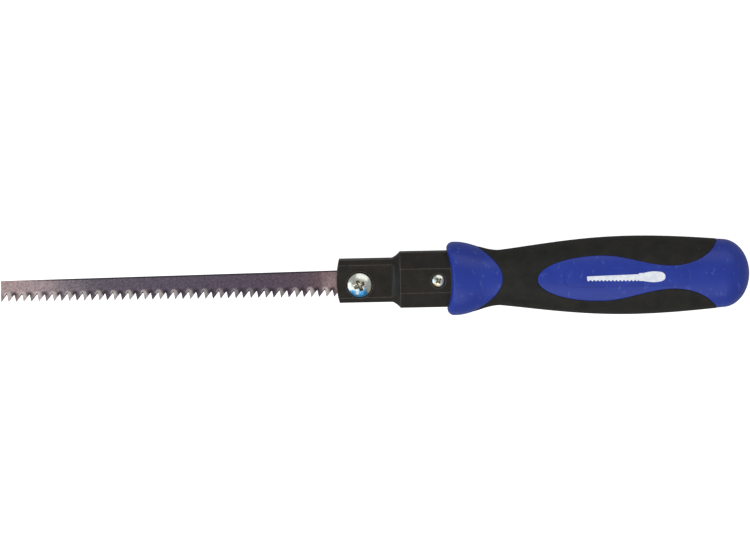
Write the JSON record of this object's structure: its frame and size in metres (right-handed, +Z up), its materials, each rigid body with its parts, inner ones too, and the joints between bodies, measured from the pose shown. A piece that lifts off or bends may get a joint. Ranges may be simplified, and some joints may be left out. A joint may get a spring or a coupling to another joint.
{
  "type": "pad saw",
  "caption": "Pad saw with a tapered blade clamped in an octagonal cast holder by a screw, and a rounded over-moulded two-tone handle.",
  "frame": {"origin": "on the bench under the middle of the saw's box, with the saw lying on its side", "axes": "+X along the saw from the toe of the blade to the butt of the handle, +Y from the teeth to the back of the blade, +Z up off the bench towards the screw heads"},
  "size_m": [0.3138, 0.0326, 0.028],
  "materials": {
    "blade_steel": "ground and tempered to a purple-grey",
    "cast_black": "satin black over a casting",
    "zinc_plate": "zinc plated and passivated",
    "bar_steel": "bright drawn",
    "blue_plastic": "satin moulded",
    "soft_black": "matt moulded, fine grain"
  },
  "bodies": {
    "handle": {"blade_holder": "cast_black", "clamp_nut": "zinc_plate", "retaining_screw": "zinc_plate", "tang_bar": "bar_steel", "handle_core": "blue_plastic", "soft_grip": "soft_black"},
    "blade": {"blade": "blade_steel"},
    "washer": {"clamp_washer": "zinc_plate"},
    "screw": {"clamp_screw": "zinc_plate"}
  },
  "joints": [
    {"name": "blade_draw", "type": "slide", "parent": "handle", "child": "blade", "axis": [-1, 0, 0], "range_m": [0, 0.026]},
    {"name": "washer_lift", "type": "slide", "parent": "handle", "child": "washer", "axis": [0, 0, 1], "range_m": [0, 0.0038]},
    {"name": "screw_turn", "type": "hinge", "parent": "washer", "child": "screw", "pos_m": [-0.00655, -0.0014, 0.02], "axis": [0, 0, 1], "range_deg": [0, 1712]}
  ],
  "couplings": [
    {"joint": "screw_turn", "follows": "washer_lift", "rad_per_m": 7854}
  ]
}
